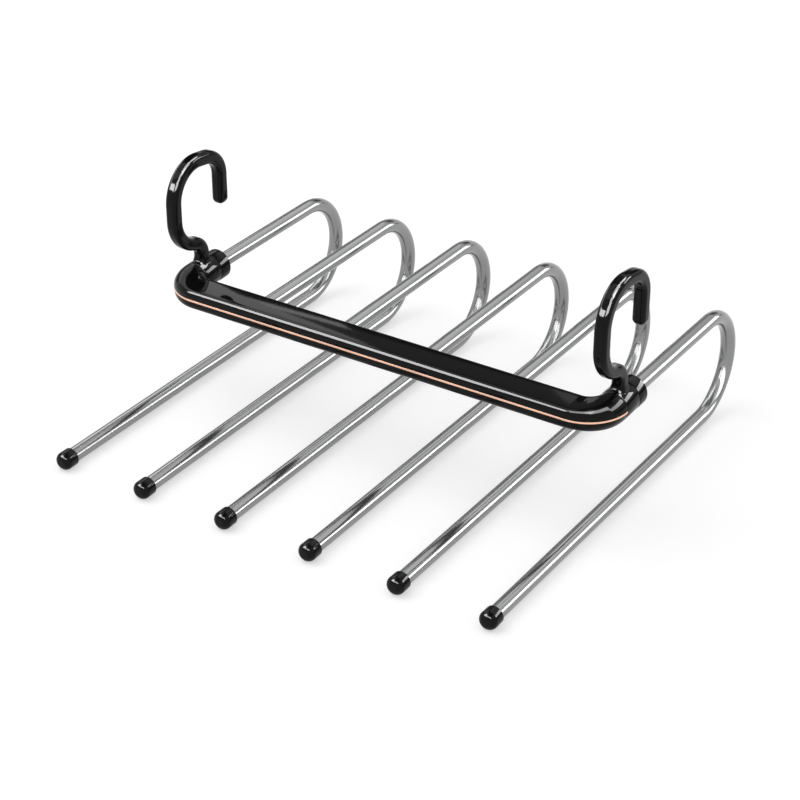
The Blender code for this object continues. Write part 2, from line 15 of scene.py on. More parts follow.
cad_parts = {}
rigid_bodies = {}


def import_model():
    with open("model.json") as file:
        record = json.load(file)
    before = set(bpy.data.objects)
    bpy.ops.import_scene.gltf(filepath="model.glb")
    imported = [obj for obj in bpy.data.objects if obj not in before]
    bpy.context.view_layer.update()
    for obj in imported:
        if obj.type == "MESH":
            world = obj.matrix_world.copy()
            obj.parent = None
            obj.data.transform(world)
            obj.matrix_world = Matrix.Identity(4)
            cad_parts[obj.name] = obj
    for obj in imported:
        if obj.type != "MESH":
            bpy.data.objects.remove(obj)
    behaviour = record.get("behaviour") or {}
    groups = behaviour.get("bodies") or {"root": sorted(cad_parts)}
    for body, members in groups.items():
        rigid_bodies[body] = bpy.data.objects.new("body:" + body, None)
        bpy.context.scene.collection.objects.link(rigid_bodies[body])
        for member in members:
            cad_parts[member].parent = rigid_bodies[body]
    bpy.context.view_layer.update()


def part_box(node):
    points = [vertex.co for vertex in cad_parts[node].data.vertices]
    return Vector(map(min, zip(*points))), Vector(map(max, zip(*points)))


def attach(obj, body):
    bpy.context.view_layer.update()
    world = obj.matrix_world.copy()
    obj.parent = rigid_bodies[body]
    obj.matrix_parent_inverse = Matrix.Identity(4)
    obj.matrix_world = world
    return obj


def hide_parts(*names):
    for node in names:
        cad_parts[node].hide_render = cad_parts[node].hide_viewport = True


for leftover in list(bpy.data.objects):
    bpy.data.objects.remove(leftover, do_unlink=True)

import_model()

# Where the rack lies in the frame
lower_shell_low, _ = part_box("bar_lower_shell")
_, upper_shell_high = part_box("bar_upper_shell")
RACK = Vector((0, lower_shell_low.y, (lower_shell_low.z + upper_shell_high.z) / 2))

# Arms and caps
ARM_COUNT = 6
ARM_XS = [sum(corner.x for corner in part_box(f"arm_{i + 1}")) / 2 for i in range(ARM_COUNT)]
TUBE_RADIUS = 0.0049
TUBE_WALL = 0.0007
LEG_DROP = 0.0697
BEND_RADIUS = LEG_DROP / 2
BEND_CENTRE_Y = 0.1555
TIP_REACH = 0.1144
TUBE_START_Y = 0.0040
OUTER_TUBE_START_Y = 0.0193
SEAT_CHAMFER = 0.0004
CAP_RADIUS = 0.0060
CAP_LENGTH = 0.0103
CAP_WALL = 0.0026
CAP_NOSE_RADIUS = 0.0040
CAP_RIM_RADIUS = 0.0004

# Bar, its joint line and its strip
BAR_DEPTH = 0.0230
BAR_HEIGHT = 0.0136
BAR_EDGE_RADIUS = 0.0036
BAR_CROWN = 0.00018
BAR_CORNER_RADIUS = 0.0280
FLAT_ANGLE = 9  # degrees of the barrel's circle that half a flat side of the bar turns into
JOINT_GAP = 0.00012
JOINT_EDGE_RADIUS = 0.00012
GROOVE_DEPTH = 0.0023
GROOVE_HALF_HEIGHT = 0.0007
STRIP_HALF_HEIGHT = 0.00064
STRIP_DEPTH = 0.0020
STRIP_PROUD = 0.0001
STRIP_EDGE_RADIUS = 0.00015

# Barrels: journal, collar, ring and washer
BARREL_X = ARM_XS[-1]
BARREL_RADIUS = 0.0102
BARREL_EDGE = 0.0003
JOURNAL_RADIUS = 0.0070
COLLAR_LENGTH = 0.0152
RING_LENGTH = 0.0097
RING_LIP = 0.0018
RING_RADIUS = 0.0006
WASHER_WIDTH = 0.0012
WASHER_THICKNESS = 0.0007
SEAM = 0.0003
FIT = 0.0001
SIDES = (("left", -1), ("right", 1))

# Hooks
HOOK_BAR = 0.0088
HOOK_EDGE_RADIUS = 0.0030
HOOK_STEM_OFFSET = 0.0258
HOOK_SPAN = 0.0481
HOOK_NECK_HEIGHT = 0.0227
HOOK_SHOULDER_HEIGHT = 0.0303
HOOK_CROWN_HEIGHT = 0.0847
HOOK_CROWN_FALL = 0.0066
HOOK_TIP_HEIGHT = 0.0422
HOOK_RADII = (0.0109, 0.0225, 0.0230, 0.0165)
HOOK_FLARE = 1.35
HOOK_FLARE_HEIGHT = 0.0030
HOOK_SUNK = 0.0012  # how far the foot reaches into the collar

# Screws under the bar
SCREW_HEAD_RADIUS = 0.0028
SCREW_HEAD_HEIGHT = 0.0016
# Shares of the head's radius and distances from its face
SCREW_HEAD_PROFILE = ((0, 0), (0.6, 0.0001), (0.92, 0.0004), (1, 0.0008))
SCREW_SUNK = 0.0005
SCREW_SHANK_RADIUS = 0.0013
SCREW_RECESS_SIZE = Vector((0.0030, 0.0006, 0.0020))
SCREW_HOLE_CHAMFER = 0.0003

# Colours and the plastic's shine
PLASTIC_BLACK = (0.004, 0.004, 0.0045)
PLASTIC_SPECULAR = 0.12
STEEL = (0.268, 0.27, 0.273)
ROSE_GOLD = (0.95, 0.57, 0.42)
ZINC_DARK = (0.42, 0.43, 0.46)
ZINC_LIGHT = (0.62, 0.63, 0.65)
RUBBER_DARK = (0.014, 0.014, 0.014)
RUBBER_LIGHT = (0.028, 0.028, 0.028)
FLOOR_GREY = (0.6, 0.6, 0.6, 1)
WHITE = (1, 1, 1, 1)
BLACK = (0, 0, 0, 1)

# Camera
CAMERA_PLACE = Vector((0.648594, -0.961056, 0.644620))
CAMERA_AZIMUTH = 146.97
CAMERA_ELEVATION = 30.21
CAMERA_LENS = 97.14
CAMERA_SENSOR = 36

# Studio
STUDIO_DISTANCE = 2.5
CARD_DISTANCE = 3.2
FLOOR_SIZE = 12.0
FLOOR_GLOW = 0.5
WORLD_FILL = 0.75

# How the names of each group's pieces start
PIECE_GROUPS = {
    "tubes": ("steel_arm",),
    "hooks": ("hook_and_collar",),
    "shells": ("upper_shell", "lower_shell"),
    "caps": ("cap_",),
    "caps and rings": ("cap_", "ring_"),
    "shells, caps and rings": ("upper_shell", "lower_shell", "cap_", "ring_"),
    "all but hooks": ("steel_arm", "upper_shell", "lower_shell", "cap_", "ring_",
                      "rose_gold_strip", "screw_"),
}

# Each softbox's name, azimuth, elevation, width, height and radiance, and the group that shows
# it: the key lights everything, and the others are only reflections in their group
SOFTBOXES = (
    ("key", -100, 60, 40, 40, 1.5, None),
    ("back_right_strip", 41, 9.5, 32, 18, 6, "tubes"),
    ("back_left_fill", -42, 28, 44, 34, 0.3, "tubes"),
    ("bend_side_box", 107, 28, 58, 34, 3.8, "tubes"),
    ("bend_front_box", 167, 27, 62, 32, 3.6, "tubes"),
    ("bend_top_box", 130, 68, 90, 24, 0.9, "tubes"),
    ("back_right_box", 38, 23, 32, 15, 24, "caps and rings"),
    ("collar_box", 41, 23, 22, 15, 24, "hooks"),
    ("front_left_box", -139, 40, 26, 32, 54, "shells, caps and rings"),
    ("cap_box", 176, 35, 50, 14, 45, "caps"),
    ("corner_front_box", 160, 63, 44, 28, 28, "shells"),
    ("corner_side_box", 106, 54, 44, 26, 26, "shells"),
    ("corner_rear_box", 58, 31, 42, 17, 21, "shells"),
    ("front_left_spot", -147, 26, 22, 15, 60, "hooks"),
    ("front_box", 150, 36, 46, 26, 55, "hooks"),
    ("overhead_box", 133, 62, 46, 26, 55, "hooks"),
    ("top_box", 90, 76, 34, 46, 50, "hooks"),
    ("rear_box", 18, 59, 24, 27, 45, "hooks"),
    ("left_strip", -98, 27, 66, 18, 9, "hooks"),
)

# Each card's name, radiance, distance behind the nearest cards, the group that shows it or None
# for all pieces, and the azimuths and elevations of its corners
CARDS = (
    ("backdrop", 0.3, 0.2, None,
     ((-39, 26.6), (-26, 26.6), (-26, 33), (-22, 33), (-22, 64), (-100, 64), (-60, 40))),
    ("low_gap", 0.05, 0.1, None, ((-50, 12), (9, 12), (9, 26.6), (-39, 26.6))),
    ("left_gap", 0.25, 0.15, None,
     ((-80, -1.4), (-30, -1.4), (-30, 12), (-40.5, 12), (-40.5, 20), (-80, 20))),
    ("left_panel", 2.1, 0, "all but hooks",
     ((-36.6, 28.9), (-34.8, 30.7), (-46.5, 48.5), (-85, 48.5), (-80, 20), (-40, 20),
      (-39, 26.6), (-38, 27.7))),
    ("left_edge", 3.0, 0, None, ((-39.5, 26.7), (-34.5, 26.8), (-34.6, 27.8), (-38.5, 27.8))),
    ("upper_panel", 3.3, 0, "all but hooks",
     ((-46.5, 48.5), (-63, 57), (-97, 61), (-110, 50), (-85, 48.5))),
    ("back_panel", 1.6, 0, None, ((-24, 33), (32, 33), (32, 46), (-24, 46))),
    ("right_gap", 0.1, 0, None, ((15, -1.5), (80, -1.5), (80, 5.5), (15, 5.5))),
    ("ceiling", 0.2, 0, None, ((-24, 50), (45, 50), (135, 50), (-135, 66), (-60, 62))),
)

# Fineness, and the angles in degrees past which an edge stays sharp
TUBE_SIDES = 72
BEND_STEPS = 72
ROUND_SIDES = 96
SCREW_SIDES = 48
CORNER_STEPS = 48
EDGE_STEPS = 10
SMALL_EDGE_STEPS = 3
WALL_STEPS = 2
TOP_STEPS = 8
CAP_NOSE_STEPS = 16
CAP_RIM_STEPS = 5
RING_EDGE_STEPS = 8
HOOK_EDGE_STEPS = 8
HOOK_SIDE_STEPS = 6
HOOK_FOOT_STEPS = 10
HOOK_TIP_STEPS = 12
HOOK_STEP_ANGLE = math.radians(2.5)
SHARP_ANGLE = 50
SCREW_SHARP_ANGLE = 30

# Derived places
ARM_STARTS = [OUTER_TUBE_START_Y if x in (ARM_XS[0], ARM_XS[-1]) else TUBE_START_Y
              for x in ARM_XS]
HALF_DEPTH = BAR_DEPTH / 2
HALF_HEIGHT = BAR_HEIGHT / 2
STRAIGHT_HALF = BARREL_X + BARREL_RADIUS - BAR_CORNER_RADIUS
BAR_END_Y = BAR_CORNER_RADIUS
COLLAR_CENTRE_Y = BAR_END_Y + SEAM + COLLAR_LENGTH / 2
RING_FRONT_Y = COLLAR_CENTRE_Y + COLLAR_LENGTH / 2 + SEAM
JOURNAL_END_Y = RING_FRONT_Y + RING_LENGTH - RING_LIP - SEAM
TUBE_END_Y = -TIP_REACH + CAP_WALL + SEAM


# Objects

def mesh_from(name, bm):
    """Turns a bmesh into a mesh whose faces point out."""
    bmesh.ops.recalc_face_normals(bm, faces=bm.faces)
    mesh = bpy.data.meshes.new(name)
    bm.to_mesh(mesh)
    bm.free()
    return mesh


def add_object(name, data):
    obj = bpy.data.objects.new(name, data)
    bpy.context.scene.collection.objects.link(obj)
    return obj


def shade(mesh, sharp_angle):
    """Smooth shading that keeps the edges which turn by more than an angle in degrees."""
    mesh.shade_smooth()
    mesh.set_sharp_from_angle(angle=math.radians(sharp_angle))


def place_piece(name, mesh, body, node, location):
    """A piece that rides on a body and stands for a node of the frame."""
    obj = add_object(name, mesh)
    obj.location = RACK + Vector(location)
    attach(obj, body)
    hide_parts(node)
    return obj


def add_piece(name, bm, material, body, node, location=(0, 0, 0), sharp_angle=SHARP_ANGLE):
    """A piece with a new mesh."""
    mesh = mesh_from(name, bm)
    shade(mesh, sharp_angle)
    mesh.materials.append(material)
    return place_piece(name, mesh, body, node, location)


def place_copies(mesh, name, node, places):
    """Further pieces of the rack that share a mesh, numbered from 2."""
    for i, place in enumerate(places, 2):
        place_piece(f"{name}_{i}", mesh, "rack", f"{node}_{i}", place)


def add_cutter(name, bm, location=(0, 0, 0)):
    """A solid that only cuts or joins others, and is discarded afterwards."""
    obj = add_object(name, mesh_from(name, bm))
    obj.location = RACK + Vector(location)
    return obj


def combine(obj, others, operation, sharp_angle=SHARP_ANGLE):
    """Cuts the other solids from the piece, or joins them on, and discards them."""
    for other in others:
        modifier = obj.modifiers.new(other.name, "BOOLEAN")
        modifier.object = other
        modifier.operation = operation
        modifier.solver = "EXACT"
    graph = bpy.context.evaluated_depsgraph_get()
    mesh = bpy.data.meshes.new_from_object(obj.evaluated_get(graph))
    obj.modifiers.clear()
    obj.data = mesh
    shade(mesh, sharp_angle)
    for other in others:
        bpy.data.objects.remove(other, do_unlink=True)


# Forms

def arc(centre, radius, start, end, steps):
    """Points on an arc between two angles in degrees, both ends included."""
    points = []
    for i in range(steps + 1):
        angle = math.radians(start + (end - start) * i / steps)
        points.append((centre[0] + radius * math.cos(angle),
                       centre[1] + radius * math.sin(angle)))
    return points


def eased(share):
    """A share from 0 to 1 that starts and ends gently."""
    return share * share * (3 - 2 * share)


def with_mirror_image(right):
    """The rings of a run along X, from its mirror image's far end to its own."""
    left = [[Vector((-p.x, p.y, p.z)) for p in ring] for ring in reversed(right)]
    return left + right


def skinned(rings, closed=False, mapped=False):
    """Quads between rings of points; the ends are capped unless the rings close on themselves."""
    bm = bmesh.new()
    loops = [[bm.verts.new(point) for point in ring] for ring in rings]
    pairs = list(zip(loops, loops[1:]))
    if closed:
        pairs.append((loops[-1], loops[0]))
    for near, far in pairs:
        for i in range(len(near)):
            j = (i + 1) % len(near)
            bm.faces.new((near[i], near[j], far[j], far[i]))
    if not closed:
        bm.faces.new(list(reversed(loops[0])))
        bm.faces.new(loops[-1])
    if mapped:
        map_along(bm, loops, rings)
    return bm


def map_along(bm, loops, rings):
    """Gives a skin map coordinates in metres: U along its route and V round its section."""
    layer = bm.loops.layers.uv.new("UVMap")
    along = [0.0]
    for near, far in zip(rings, rings[1:]):
        along.append(along[-1] + (far[0] - near[0]).length)
    place = {}
    for travelled, loop, ring in zip(along, loops, rings):
        around = 0.0
        for i, vert in enumerate(loop):
            place[vert] = (travelled, around)
            around += (ring[(i + 1) % len(ring)] - ring[i]).length
        place[loop[0], "seam"] = (travelled, around)
    last = {loop[-1] for loop in loops}
    for face in bm.faces:
        at_seam = len(face.verts) == 4 and any(vert in last for vert in face.verts)
        for corner in face.loops:
            key = corner.vert
            if at_seam and (key, "seam") in place:
                key = (key, "seam")
            corner[layer].uv = place[key]


def turned(profile, sides=ROUND_SIDES, upright=False):
    """A closed profile of (radius, distance) points turned about the Y axis, or the Z axis."""
    bm = bmesh.new()
    loops = []
    for radius, along in profile:
        ring = []
        for i in range(sides if radius > 0 else 1):
            angle = 2 * math.pi * i / sides
            across = (radius * math.cos(angle), radius * math.sin(angle))
            point = (*across, along) if upright else (across[0], along, across[1])
            ring.append(bm.verts.new(point))
        loops.append(ring)
    for near, far in zip(loops, loops[1:] + loops[:1]):
        if len(near) == 1 and len(far) == 1:
            continue
        for i in range(sides):
            j = (i + 1) % sides
            corners = [near[i % len(near)], near[j % len(near)],
                       far[j % len(far)], far[i % len(far)]]
            bm.faces.new(list(dict.fromkeys(corners)))
    return bm


# Materials

def new_material(slot_name):
    """A material for a slot, with its node tree and its shader."""
    material = bpy.data.materials.new(slot_name + "_look")
    material.use_nodes = True
    material["slot"] = slot_name
    tree = material.node_tree
    return material, tree, tree.nodes["Principled BSDF"]


def coordinates(tree, kind):
    return tree.nodes.new("ShaderNodeTexCoord").outputs[kind]


def add_noise(tree, where, scale, detail=3.0, stretch=(1, 1, 1)):
    """Noise in stretched coordinates; returns its value's socket."""
    mapping = tree.nodes.new("ShaderNodeMapping")
    mapping.inputs["Scale"].default_value = stretch
    tree.links.new(where, mapping.inputs["Vector"])
    noise = tree.nodes.new("ShaderNodeTexNoise")
    noise.inputs["Scale"].default_value = scale
    noise.inputs["Detail"].default_value = detail
    tree.links.new(mapping.outputs["Vector"], noise.inputs["Vector"])
    return noise.outputs["Fac"]


def ramp_between(tree, value, low, high, start=0.3, end=0.7):
    """Maps a value's middle range to a range of numbers."""
    mapped = tree.nodes.new("ShaderNodeMapRange")
    mapped.inputs["From Min"].default_value = start
    mapped.inputs["From Max"].default_value = end
    mapped.inputs["To Min"].default_value = low
    mapped.inputs["To Max"].default_value = high
    tree.links.new(value, mapped.inputs["Value"])
    return mapped.outputs["Result"]


def set_tone(tree, shader, value, dark, light):
    """A base colour between two colours."""
    mix = tree.nodes.new("ShaderNodeMix")
    mix.data_type = "RGBA"
    mix.inputs["A"].default_value = (*dark, 1)
    mix.inputs["B"].default_value = (*light, 1)
    tree.links.new(value, mix.inputs["Factor"])
    tree.links.new(mix.outputs["Result"], shader.inputs["Base Color"])


def set_roughness(tree, shader, value, low, high):
    tree.links.new(ramp_between(tree, value, low, high), shader.inputs["Roughness"])


def set_bump(tree, shader, value, height):
    """Relief whose full height is given in metres."""
    bump = tree.nodes.new("ShaderNodeBump")
    bump.inputs["Distance"].default_value = height
    bump.inputs["Strength"].default_value = 1.0
    tree.links.new(value, bump.inputs["Height"])
    tree.links.new(bump.outputs["Normal"], shader.inputs["Normal"])


def scaled(colour, factor):
    return tuple(factor * c for c in colour)


def gloss_plastic(slot_name, roughness, grain):
    """Moulded plastic: a faint waviness under the gloss, and finer marks in its roughness."""
    material, tree, shader = new_material(slot_name)
    where = coordinates(tree, "Object")
    tone = add_noise(tree, where, 90)
    set_tone(tree, shader, tone, scaled(PLASTIC_BLACK, 0.8), scaled(PLASTIC_BLACK, 1.25))
    marks = add_noise(tree, where, 700, 4.0)
    set_roughness(tree, shader, marks, roughness * 0.8, roughness * 1.3)
    shader.inputs["Specular IOR Level"].default_value = PLASTIC_SPECULAR
    set_bump(tree, shader, add_noise(tree, where, 260, 2.0), grain)
    return material


def lengthwise_metal(slot_name, colour, metallic, roughness, grain, stretch):
    """Drawn and polished metal, with a fine grain along the piece from its map coordinates."""
    material, tree, shader = new_material(slot_name)
    where = coordinates(tree, "UV")
    streaks = add_noise(tree, where, 1.0, 4.0, stretch)
    clouds = add_noise(tree, where, 1.0, stretch=(6, 25, 1))
    set_tone(tree, shader, clouds, scaled(colour, 0.93), scaled(colour, 1.06))
    set_roughness(tree, shader, streaks, roughness * 0.8, roughness * 1.25)
    shader.inputs["Metallic"].default_value = metallic
    set_bump(tree, shader, streaks, grain)
    return material


def plated_steel():
    """Zinc plating, cloudy and a little rough."""
    material, tree, shader = new_material("zinc_plated_steel")
    clouds = add_noise(tree, coordinates(tree, "Object"), 1500, 5.0)
    set_tone(tree, shader, clouds, ZINC_DARK, ZINC_LIGHT)
    set_roughness(tree, shader, clouds, 0.28, 0.45)
    shader.inputs["Metallic"].default_value = 1.0
    set_bump(tree, shader, clouds, 0.000004)
    return material


def washer_rubber():
    """Matt rubber with a fine grain."""
    material, tree, shader = new_material("washer_rubber")
    grain = add_noise(tree, coordinates(tree, "Object"), 2500, 4.0)
    set_tone(tree, shader, grain, RUBBER_DARK, RUBBER_LIGHT)
    set_roughness(tree, shader, grain, 0.6, 0.8)
    set_bump(tree, shader, grain, 0.00001)
    return material


# Bar

def half_outline():
    """The upper half of the bar's outline, from the outer side over the top to the inner side.

    Each entry is a point of the bar's rounded rectangle and the matching angle, in degrees, on
    the barrel's circle.
    """
    wall = HALF_HEIGHT - BAR_EDGE_RADIUS
    top = HALF_DEPTH - BAR_EDGE_RADIUS
    quarter = []
    for i in range(WALL_STEPS):
        quarter.append(((HALF_DEPTH, wall * i / WALL_STEPS), FLAT_ANGLE * i / WALL_STEPS))
    for i, point in enumerate(arc((top, wall), BAR_EDGE_RADIUS, 0, 90, EDGE_STEPS)):
        quarter.append((point, FLAT_ANGLE + (90 - 2 * FLAT_ANGLE) * i / EDGE_STEPS))
    for i in range(1, TOP_STEPS):
        quarter.append(((top * (1 - i / TOP_STEPS), HALF_HEIGHT),
                        90 - FLAT_ANGLE * (1 - i / TOP_STEPS)))
    middle = [((0, HALF_HEIGHT), 90)]
    mirrored = [((-u, z), 180 - angle) for (u, z), angle in reversed(quarter)]
    return quarter + middle + mirrored


def bar_station(bend):
    """The outer edge, the outward direction and the share of change at one turn of the corner."""
    outward = Vector((math.sin(bend), -math.cos(bend), 0))
    edge = Vector((STRAIGHT_HALF, BAR_CORNER_RADIUS, 0)) + BAR_CORNER_RADIUS * outward
    return edge, outward, eased(bend / (math.pi / 2))


def shell_outline(change, shrink):
    """The upper half's (outward, height) points, from the joint line to the joint line."""
    points = []
    for (u, z), angle in half_outline():
        turn = math.radians(angle)
        if z > HALF_HEIGHT - BAR_EDGE_RADIUS:
            z += BAR_CROWN * (1 - (u / HALF_DEPTH) ** 2)
        round_u = (BARREL_RADIUS - shrink) * math.cos(turn)
        round_z = (BARREL_RADIUS - shrink) * math.sin(turn)
        points.append((u + (round_u - u) * change, z + (round_z - z) * change))
    return points


def shell_section(bend, side, shrink=0.0, further=0.0):
    """One shell's closed section: its outline, its inner joint edge and the strip's groove."""
    edge, outward, change = bar_station(bend)
    half_width = HALF_DEPTH + (BARREL_RADIUS - HALF_DEPTH) * change
    centre = edge - half_width * outward + Vector((0, further, 0))
    outline = shell_outline(change, shrink)
    outer_u = outline[0][0]
    inner_u = outline[-1][0]
    r = JOINT_EDGE_RADIUS
    lip = GROOVE_HALF_HEIGHT
    joint = JOINT_GAP / 2
    outer_edge = arc((outer_u - r, lip + r), r, -90, 0, SMALL_EDGE_STEPS)
    inner_edge = arc((inner_u + r, joint + r), r, 180, 270, SMALL_EDGE_STEPS)
    points = outer_edge + outline[1:-1] + inner_edge
    groove = outer_u - GROOVE_DEPTH
    points += [(groove, joint), (groove, lip)]
    return [centre + u * outward + Vector((0, 0, side * z)) for u, z in points]


def barrel_end(side):
    """Sections that round the edge of the barrel's end face."""
    sections = []
    for step in range(SMALL_EDGE_STEPS + 1):
        lean = math.pi / 2 * step / SMALL_EDGE_STEPS
        shrink = BARREL_EDGE * (1 - math.cos(lean))
        back = BARREL_EDGE * (math.sin(lean) - 1)
        sections.append(shell_section(math.pi / 2, side, shrink, back))
    return sections


def shell_rings(side):
    """A shell's sections from the left barrel round both corners to the right barrel.

    The turn of the corner stops just short of where the rounding of the barrel's end starts.
    """
    inner_radius = BAR_CORNER_RADIUS - 2 * BARREL_RADIUS
    last = math.pi / 2 - 1.2 * BARREL_EDGE / inner_radius
    right = [shell_section(last * i / CORNER_STEPS, side) for i in range(CORNER_STEPS + 1)]
    return with_mirror_image(right + barrel_end(side))


def journal_halves(side):
    """Each shell's half of the journals, which carry the hooks' collars."""
    lean = math.degrees(math.asin(JOINT_GAP / JOURNAL_RADIUS))
    section = arc((0, 0), JOURNAL_RADIUS, lean, 180 - lean, ROUND_SIDES // 2)
    halves = []
    for x in (-BARREL_X, BARREL_X):
        rings = [[Vector((u, y, side * z)) for u, z in section]
                 for y in (BAR_END_Y - GROOVE_DEPTH, JOURNAL_END_Y)]
        halves.append(add_cutter("journal", skinned(rings), (x, 0, 0)))
    return halves


def tube_seats():
    """Seats round the tubes, with a small chamfer where a tube leaves the bar's rear face."""
    radius = TUBE_RADIUS + FIT
    seats = []
    for i, (x, start) in enumerate(zip(ARM_XS, ARM_STARTS)):
        mouth = BAR_DEPTH if start == TUBE_START_Y else JOURNAL_END_Y
        past = mouth + 2 * SEAT_CHAMFER
        profile = [(0, start - SEAM), (radius, start - SEAM), (radius, mouth - SEAT_CHAMFER),
                   (radius + 3 * SEAT_CHAMFER, past), (0, past)]
        seats.append(add_cutter(f"seat_{i}", turned(profile, TUBE_SIDES), (x, 0, 0)))
    return seats


def screw_places():
    """One place between each pair of neighbouring arms."""
    return [((a + b) / 2, HALF_DEPTH, 0) for a, b in zip(ARM_XS, ARM_XS[1:])]


def screw_holes():
    """Holes from below for the screws' heads and shanks, with a chamfered mouth."""
    head = SCREW_HEAD_RADIUS + FIT
    shank = SCREW_SHANK_RADIUS - FIT
    seat = -HALF_HEIGHT + SCREW_SUNK + SCREW_HEAD_HEIGHT
    below = -HALF_HEIGHT - 2 * SCREW_HOLE_CHAMFER
    profile = [(0, below), (head + 3 * SCREW_HOLE_CHAMFER, below),
               (head, -HALF_HEIGHT + SCREW_HOLE_CHAMFER), (head, seat), (shank, seat),
               (shank, HALF_HEIGHT / 2), (0, HALF_HEIGHT / 2)]
    return [add_cutter(f"hole_{i}", turned(profile, SCREW_SIDES, upright=True), place)
            for i, place in enumerate(screw_places())]


def add_bar(plastic):
    """The bar's two shells, each with its half of the journals."""
    for word, side in (("upper", 1), ("lower", -1)):
        shell = add_piece(f"{word}_shell", skinned(shell_rings(side)), plastic, "rack",
                          f"bar_{word}_shell")
        combine(shell, journal_halves(side), "UNION")
        cutters = tube_seats()
        if side < 0:
            cutters += screw_holes()
        combine(shell, cutters, "DIFFERENCE")


def strip_section(bend):
    """The strip's section, with its two outer edges rounded."""
    edge, outward, _ = bar_station(bend)
    r = STRIP_EDGE_RADIUS
    front = STRIP_PROUD - r
    points = arc((front, STRIP_HALF_HEIGHT - r), r, 90, 0, SMALL_EDGE_STEPS)
    points += arc((front, -STRIP_HALF_HEIGHT + r), r, 0, -90, SMALL_EDGE_STEPS)
    points += [(-STRIP_DEPTH, -STRIP_HALF_HEIGHT), (-STRIP_DEPTH, STRIP_HALF_HEIGHT)]
    return [edge + u * outward + Vector((0, 0, z)) for u, z in points]


def add_strip(metal):
    """The strip in the outer side of the joint line, from barrel to barrel."""
    right = [strip_section(math.pi / 2 * i / CORNER_STEPS) for i in range(CORNER_STEPS + 1)]
    bm = skinned(with_mirror_image(right), mapped=True)
    add_piece("rose_gold_strip", bm, metal, "rack", "accent_strip")


# Arms

def arm_route(start):
    """Points on the tube's centre line and the directions across it, in the Y-Z plane."""
    route = [((start, 0.0), 90), ((BEND_CENTRE_Y, 0.0), 90)]
    bend = arc((BEND_CENTRE_Y, -BEND_RADIUS), BEND_RADIUS, 90, -90, BEND_STEPS)
    for i, point in enumerate(bend[1:], 1):
        route.append((point, 90 - 180 * i / BEND_STEPS))
    route.append(((TUBE_END_Y, -LEG_DROP), -90))
    return route


def tube_rings(start, radius):
    """Circles round the tube's centre line."""
    rings = []
    for (y, z), angle in arm_route(start):
        up = Vector((0, math.cos(math.radians(angle)), math.sin(math.radians(angle))))
        ring = []
        for i in range(TUBE_SIDES):
            turn = 2 * math.pi * i / TUBE_SIDES
            across = radius * (math.cos(turn) * Vector((1, 0, 0)) + math.sin(turn) * up)
            ring.append(Vector((0, y, z)) + across)
        rings.append(ring)
    return rings


def add_arms(steel):
    """U-bent tubes, open at both ends; the outer two start further back than the others."""
    meshes = {}
    for i, (x, start) in enumerate(zip(ARM_XS, ARM_STARTS), 1):
        name = f"steel_arm_{i}"
        node = f"arm_{i}"
        place = (x, 0, 0)
        if start in meshes:
            place_piece(name, meshes[start], "rack", node, place)
            continue
        inner = tube_rings(start, TUBE_RADIUS - TUBE_WALL)
        rings = tube_rings(start, TUBE_RADIUS) + list(reversed(inner))
        bm = skinned(rings, closed=True, mapped=True)
        meshes[start] = add_piece(name, bm, steel, "rack", node, place).data


def add_caps(plastic):
    """Soft caps with a rounded nose, whose rim grips the tube."""
    nose = arc((CAP_RADIUS - CAP_NOSE_RADIUS, CAP_NOSE_RADIUS), CAP_NOSE_RADIUS, -90, 0,
               CAP_NOSE_STEPS)
    rim = arc((CAP_RADIUS - CAP_RIM_RADIUS, CAP_LENGTH - CAP_RIM_RADIUS), CAP_RIM_RADIUS, 0, 90,
              CAP_RIM_STEPS)
    grip = TUBE_RADIUS + FIT / 2
    inside = [(grip, CAP_LENGTH), (grip, CAP_WALL), (0, CAP_WALL)]
    places = [(x, -TIP_REACH, -LEG_DROP) for x in ARM_XS]
    first = add_piece("cap_1", turned([(0, 0)] + nose + rim + inside), plastic, "rack",
                      "tip_cap_1", places[0])
    place_copies(first.data, "cap", "tip_cap", places[1:])


# Hooks

def filleted_route(corners, radii):
    """Points and directions along straight runs that are joined by arcs."""
    points = [Vector(corner) for corner in corners]
    route = [(points[0], (points[1] - points[0]).normalized())]
    for before, corner, after, radius in zip(points, points[1:], points[2:], radii):
        into = (corner - before).normalized()
        out = (after - corner).normalized()
        turned_by = into.angle_signed(out)
        tangent = radius * math.tan(abs(turned_by) / 2)
        inward = math.copysign(1, turned_by) * Vector((into.y, -into.x))
        centre = corner - tangent * into + radius * inward
        steps = math.ceil(abs(turned_by) / HOOK_STEP_ANGLE)
        for i in range(steps + 1):
            spin = Matrix.Rotation(-turned_by * i / steps, 2)
            route.append((centre - radius * (spin @ inward), spin @ into))
    route.append((points[-1], (points[-1] - points[-2]).normalized()))
    return route


def square_outline(half, radius):
    """A rounded square's points, anticlockwise from the middle of its +X side."""
    flat = half - radius
    quarter = [(half, flat * i / HOOK_SIDE_STEPS) for i in range(HOOK_SIDE_STEPS)]
    quarter += arc((flat, flat), radius, 0, 90, HOOK_EDGE_STEPS)
    quarter += [(flat * (1 - i / HOOK_SIDE_STEPS), half) for i in range(1, HOOK_SIDE_STEPS)]
    points = []
    for k in range(4):
        spin = Matrix.Rotation(k * math.pi / 2, 2)
        points += [spin @ Vector(p) for p in quarter]
    return points


def hook_ring(point, direction, outline, grow=1.0):
    """An outline square to the hook's route, which lies in the Y-Z plane."""
    across = Vector((0, -direction.y, direction.x))
    centre = Vector((0, point.x, point.y))
    return [centre + grow * (Vector((p.x, 0, 0)) + p.y * across) for p in outline]


